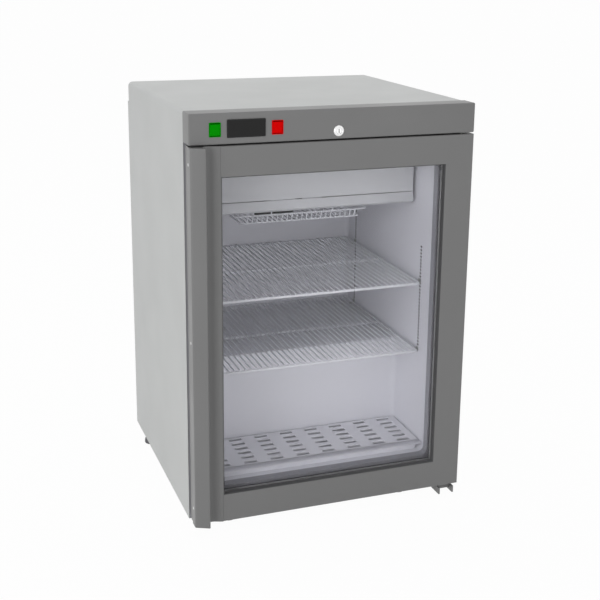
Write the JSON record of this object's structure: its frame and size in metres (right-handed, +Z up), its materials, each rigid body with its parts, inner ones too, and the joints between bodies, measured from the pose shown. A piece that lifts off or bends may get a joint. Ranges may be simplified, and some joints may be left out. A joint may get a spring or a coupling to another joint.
{
  "type": "refrigerator",
  "caption": "Under-counter display refrigerator with a hinged glass door, full-height side handle, top control strip with rocker switches and lock, wire shelves and a fan-cooled cabinet.",
  "frame": {"origin": "on the floor, below the middle of the overall box", "axes": "+Z up, the door and its control strip face -Y, the door's hinges are at +X and its handle at -X"},
  "size_m": [0.6, 0.589, 0.87],
  "materials": {
    "cabinet_paint": "satin",
    "cabinet_front": "satin",
    "foam": "matte",
    "liner_plastic": "satin",
    "galvanised": "satin",
    "black_plastic": "matte",
    "fascia_paint": "satin",
    "display_plastic": "gloss",
    "chrome": "polished",
    "zinc_steel": "satin",
    "cover_plastic": "satin",
    "aluminium": "satin",
    "wire_coating": "satin",
    "compressor_enamel": "satin",
    "copper": "satin",
    "white_plastic": "satin",
    "green_plastic": "gloss",
    "red_plastic": "gloss",
    "foot_plastic": "matte",
    "tray_paint": "satin",
    "door_plastic": "satin",
    "handle_plastic": "satin",
    "glass": "gloss",
    "inner_trim": "satin",
    "gasket_rubber": "matte"
  },
  "bodies": {
    "cabinet": {"outer_wrap": "cabinet_paint", "front_frame": "cabinet_front", "insulation_foam": "foam", "inner_liner": "liner_plastic", "base_pan": "galvanised", "bay_floor": "galvanised", "back_panel": "galvanised", "rear_cover": "galvanised", "cord_gland": "black_plastic", "control_fascia": "fascia_paint", "green_switch_body": "black_plastic", "red_switch_body": "black_plastic", "controller_body": "black_plastic", "display_window": "display_plastic", "lock_barrel": "chrome", "upper_hinge_bracket": "zinc_steel", "upper_hinge_pin": "zinc_steel", "lower_hinge_bracket": "zinc_steel", "lower_hinge_pin": "zinc_steel", "evaporator_cover": "cover_plastic", "evaporator_coil": "aluminium", "evaporator_fan_motor": "galvanised", "fan_guard": "wire_coating", "upper_clip_front_left": "zinc_steel", "upper_clip_front_right": "zinc_steel", "upper_clip_rear_left": "zinc_steel", "upper_clip_rear_right": "zinc_steel", "lower_clip_front_left": "zinc_steel", "lower_clip_front_right": "zinc_steel", "lower_clip_rear_left": "zinc_steel", "lower_clip_rear_right": "zinc_steel", "compressor": "compressor_enamel", "evaporation_pan": "black_plastic", "condenser": "aluminium", "condenser_fan_motor": "galvanised", "suction_line": "copper", "discharge_line": "copper", "drain_tube": "white_plastic"},
    "door": {"door_frame": "door_plastic", "handle_profile": "handle_plastic", "glass_outer": "glass", "glass_spacer": "aluminium", "glass_inner": "glass", "inner_frame": "inner_trim", "door_gasket": "gasket_rubber", "lower_bush": "white_plastic", "upper_bush": "white_plastic"},
    "green_rocker": {"green_rocker": "green_plastic"},
    "red_rocker": {"red_rocker": "red_plastic"},
    "lock": {"lock_plug": "chrome", "lock_cam": "zinc_steel"},
    "evaporator_fan": {"evaporator_fan": "black_plastic"},
    "condenser_fan": {"condenser_fan": "black_plastic"},
    "foot_front_left": {"foot_front_left": "foot_plastic"},
    "foot_front_right": {"foot_front_right": "foot_plastic"},
    "foot_rear_left": {"foot_rear_left": "foot_plastic"},
    "foot_rear_right": {"foot_rear_right": "foot_plastic"},
    "upper_shelf": {"upper_shelf": "wire_coating"},
    "lower_shelf": {"lower_shelf": "wire_coating"},
    "floor_tray": {"floor_tray": "tray_paint"}
  },
  "joints": [
    {"name": "door_hinge", "type": "hinge", "parent": "cabinet", "child": "door", "pos_m": [0.282, -0.255, 0], "axis": [0, 0, 1], "range_deg": [0, 100]},
    {"name": "green_rocker_pivot", "type": "hinge", "parent": "cabinet", "child": "green_rocker", "pos_m": [-0.249, -0.2745, 0.8382], "axis": [-1, 0, 0], "range_deg": [0, 12]},
    {"name": "red_rocker_pivot", "type": "hinge", "parent": "cabinet", "child": "red_rocker", "pos_m": [-0.1247, -0.2745, 0.8382], "axis": [-1, 0, 0], "range_deg": [0, 12]},
    {"name": "lock_turn", "type": "hinge", "parent": "cabinet", "child": "lock", "pos_m": [0.0014, -0.2755, 0.8258], "axis": [0, 1, 0], "range_deg": [0, 90]},
    {"name": "evaporator_fan_spin", "type": "hinge", "parent": "cabinet", "child": "evaporator_fan", "pos_m": [0, 0.0195, 0.65], "axis": [0, 0, 1], "continuous": true},
    {"name": "condenser_fan_spin", "type": "hinge", "parent": "cabinet", "child": "condenser_fan", "pos_m": [-0.16, 0.18, 0.1123], "axis": [0, 1, 0], "continuous": true},
    {"name": "foot_front_left_screw", "type": "hinge", "parent": "cabinet", "child": "foot_front_left", "pos_m": [-0.211, -0.2155, 0], "axis": [0, 0, 1], "continuous": true},
    {"name": "foot_front_right_screw", "type": "hinge", "parent": "cabinet", "child": "foot_front_right", "pos_m": [0.182, -0.2155, 0], "axis": [0, 0, 1], "continuous": true},
    {"name": "foot_rear_left_screw", "type": "hinge", "parent": "cabinet", "child": "foot_rear_left", "pos_m": [-0.282, 0.2045, 0], "axis": [0, 0, 1], "continuous": true},
    {"name": "foot_rear_right_screw", "type": "hinge", "parent": "cabinet", "child": "foot_rear_right", "pos_m": [0.282, 0.2045, 0], "axis": [0, 0, 1], "continuous": true},
    {"name": "upper_shelf_lift", "type": "slide", "parent": "cabinet", "child": "upper_shelf", "axis": [0, 0, 1], "range_m": [0, 0.02]},
    {"name": "lower_shelf_lift", "type": "slide", "parent": "cabinet", "child": "lower_shelf", "axis": [0, 0, 1], "range_m": [0, 0.02]},
    {"name": "floor_tray_lift", "type": "slide", "parent": "cabinet", "child": "floor_tray", "axis": [0, 0, 1], "range_m": [0, 0.02]}
  ]
}
